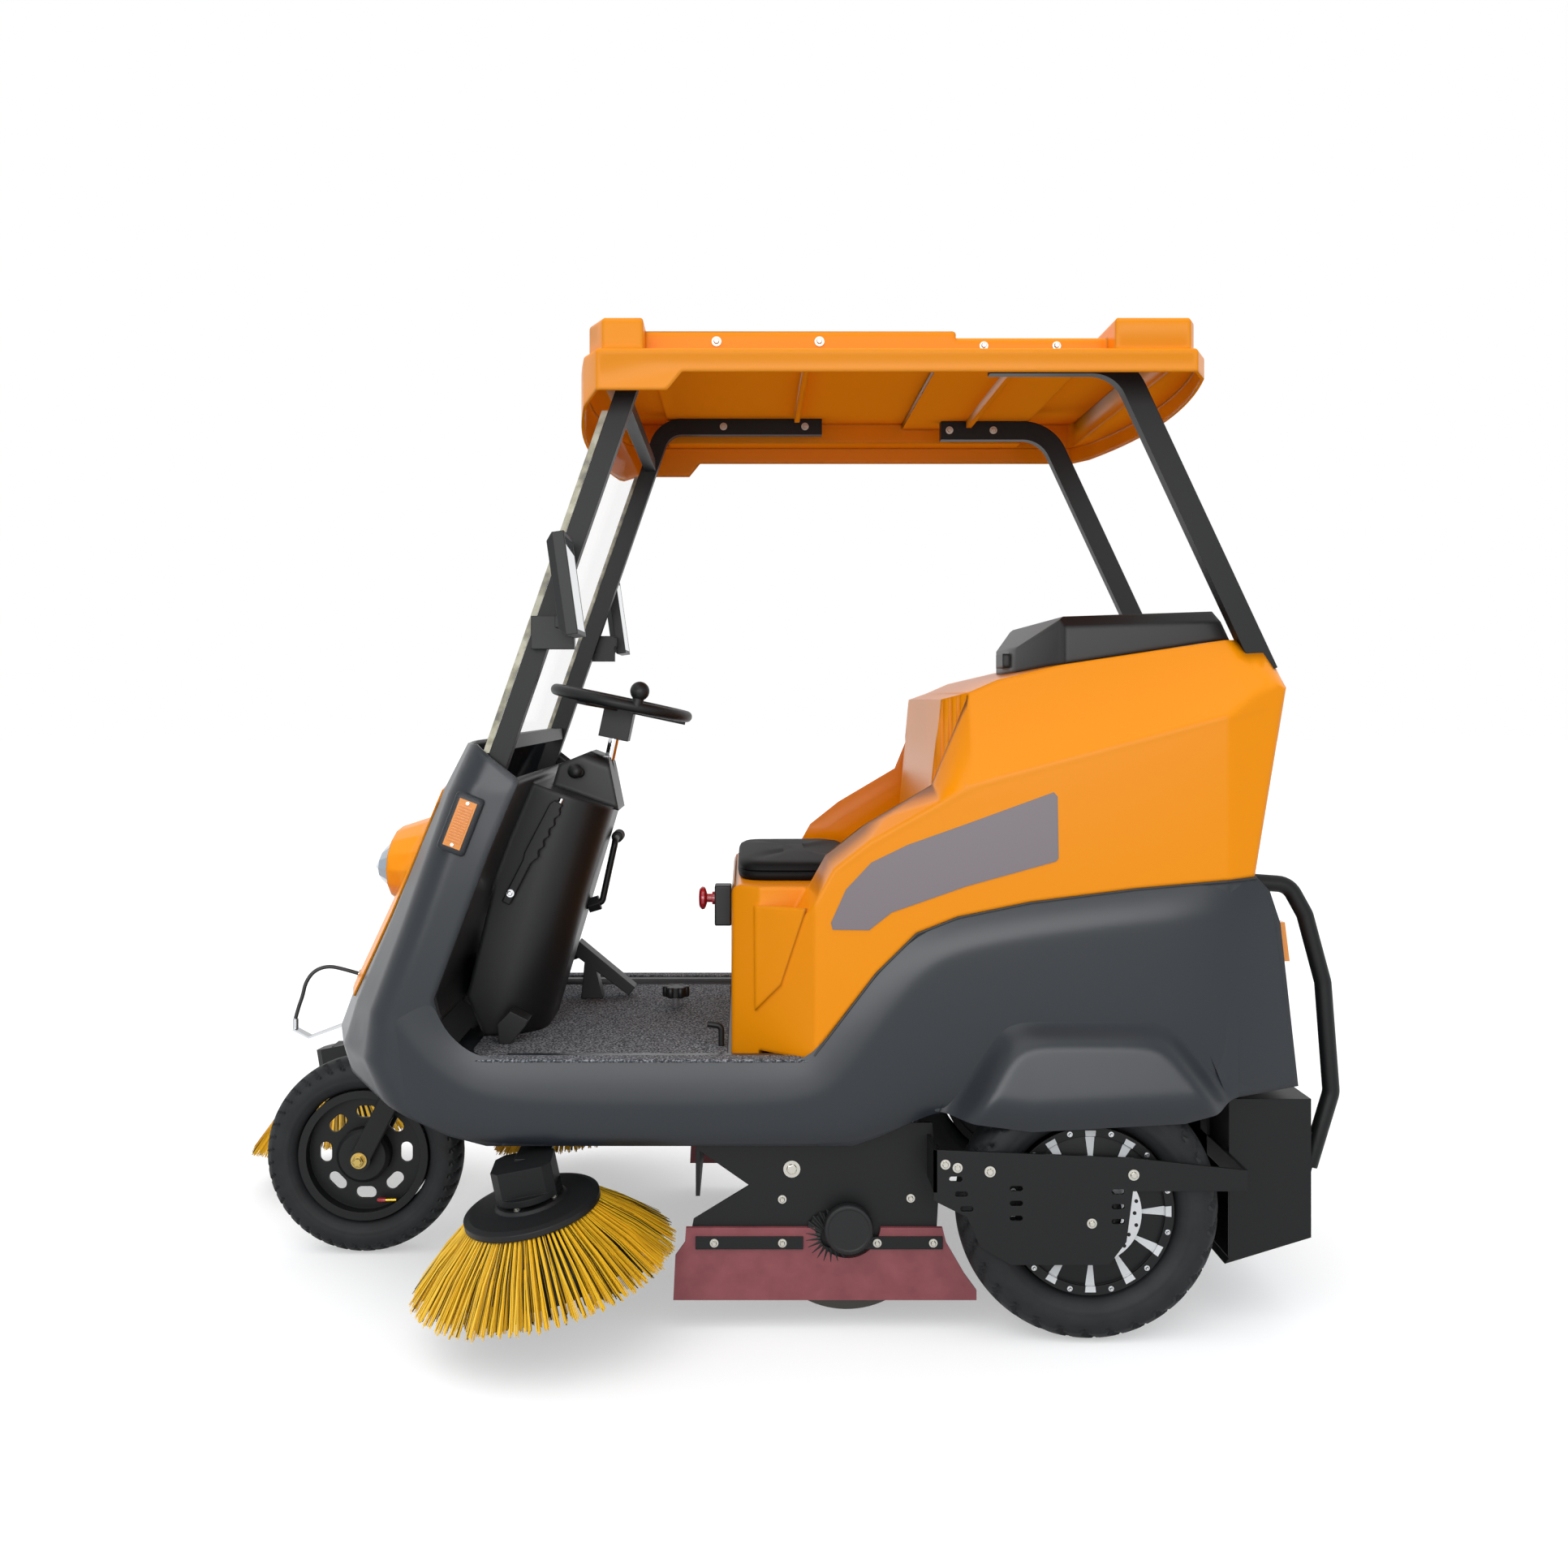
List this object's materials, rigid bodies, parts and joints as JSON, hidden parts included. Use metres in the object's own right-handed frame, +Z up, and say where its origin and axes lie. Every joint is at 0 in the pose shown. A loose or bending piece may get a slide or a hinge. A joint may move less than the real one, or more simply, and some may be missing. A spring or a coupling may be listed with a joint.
{
  "type": "street sweeper",
  "caption": "Ride-on electric street sweeper: raked front wheel under a leg shield, canopy over the driver, hood with filter lid, disc brushes, a roller brush and rubber skirts.",
  "frame": {"origin": "on the ground, at the middle of the length and the width", "axes": "+X forward, +Y to the left of the driver, +Z up"},
  "size_m": [2.353, 1.3742, 1.881],
  "materials": {
    "yellow_gelcoat": "glossy moulded panel",
    "grey_gelcoat": "satin moulded panel",
    "black_steel": "powder coated",
    "black_wheel": "satin",
    "tyre_rubber": "moulded",
    "black_plastic": "grained",
    "bristles": "fibre",
    "red_rubber": "sheet",
    "felt": "needle felt",
    "seat_vinyl": "grained",
    "screen_glass": "clear",
    "lamp_glass": "clear",
    "mirror_silver": "polished",
    "amber_plastic": "ribbed lens",
    "red_plastic": "glossy",
    "stainless": "brushed",
    "hose_rubber": "smooth"
  },
  "bodies": {
    "chassis": {"amber_lamps": "amber_plastic", "battery_pack": "black_plastic", "brush_arms": "black_steel", "chassis_frame": "black_steel", "console": "black_plastic", "floor_mat": "felt", "floor_tray": "grey_gelcoat", "foot_controls": "black_plastic", "front_cowl": "grey_gelcoat", "front_panel": "yellow_gelcoat", "front_posts": "black_steel", "guard_bars": "black_steel", "hand_levers": "black_plastic", "headlamp_lens": "lamp_glass", "hood": "yellow_gelcoat", "hopper": "black_steel", "mirror_glass": "mirror_silver", "mirror_housings": "black_plastic", "rear_axle": "black_steel", "rear_body": "grey_gelcoat", "rear_posts": "black_steel", "roller_housing": "black_steel", "roof_shell": "yellow_gelcoat", "rubber_skirts": "red_rubber", "seat_cushion": "seat_vinyl", "skirt_strips": "black_steel", "spray_hose": "hose_rubber", "spray_nozzle": "stainless", "stop_button": "red_plastic", "wheel_guards": "black_steel", "windscreen": "screen_glass"},
    "steering_fork": {"fork": "black_steel"},
    "front_wheel": {"front_rim": "black_wheel", "front_tyre": "tyre_rubber"},
    "rear_left_wheel": {"rear_left_rim": "black_wheel", "rear_left_tyre": "tyre_rubber"},
    "rear_right_wheel": {"rear_right_rim": "black_wheel", "rear_right_tyre": "tyre_rubber"},
    "steering_wheel": {"steering_wheel": "black_plastic"},
    "left_brush": {"left_brush_plate": "black_plastic", "left_brush_bristles": "bristles"},
    "right_brush": {"right_brush_plate": "black_plastic", "right_brush_bristles": "bristles"},
    "front_brush": {"front_brush_plate": "black_plastic", "front_brush_bristles": "bristles"},
    "roller": {"roller_brush": "bristles"},
    "filter_lid": {"filter_lid": "black_plastic"}
  },
  "joints": [
    {"name": "steer", "type": "hinge", "parent": "chassis", "child": "steering_fork", "pos_m": [0.791, 0, 0.21], "axis": [-0.454, 0, 0.891], "range_deg": [-40, 40]},
    {"name": "front_wheel_spin", "type": "hinge", "parent": "steering_fork", "child": "front_wheel", "pos_m": [0.791, 0, 0.21], "axis": [0, 1, 0], "continuous": true},
    {"name": "rear_left_spin", "type": "hinge", "parent": "chassis", "child": "rear_left_wheel", "pos_m": [-0.663, 0.42, 0.243], "axis": [0, 1, 0], "continuous": true},
    {"name": "rear_right_spin", "type": "hinge", "parent": "chassis", "child": "rear_right_wheel", "pos_m": [-0.663, -0.42, 0.243], "axis": [0, 1, 0], "continuous": true},
    {"name": "steering_wheel_turn", "type": "hinge", "parent": "chassis", "child": "steering_wheel", "pos_m": [0.24, 0, 1.179], "axis": [-0.2079, 0, 0.9781], "range_deg": [-120, 120]},
    {"name": "left_brush_spin", "type": "hinge", "parent": "chassis", "child": "left_brush", "pos_m": [0.37, 0.45, 0.266], "axis": [0.1901, 0.0856, 0.978], "continuous": true},
    {"name": "right_brush_spin", "type": "hinge", "parent": "chassis", "child": "right_brush", "pos_m": [0.37, -0.45, 0.266], "axis": [0.1901, -0.0856, 0.978], "continuous": true},
    {"name": "front_brush_spin", "type": "hinge", "parent": "chassis", "child": "front_brush", "pos_m": [0.95775, -0.45, 0.266], "axis": [0.1901, -0.0856, 0.978], "continuous": true},
    {"name": "roller_spin", "type": "hinge", "parent": "chassis", "child": "roller", "pos_m": [-0.22, 0, 0.198], "axis": [0, 1, 0], "continuous": true},
    {"name": "lid_open", "type": "hinge", "parent": "chassis", "child": "filter_lid", "pos_m": [-0.97933, 0, 1.3075], "axis": [0, -1, 0], "range_deg": [0, 75]}
  ],
  "couplings": [
    {"joint": "steering_wheel_turn", "follows": "steer", "ratio": 3}
  ]
}
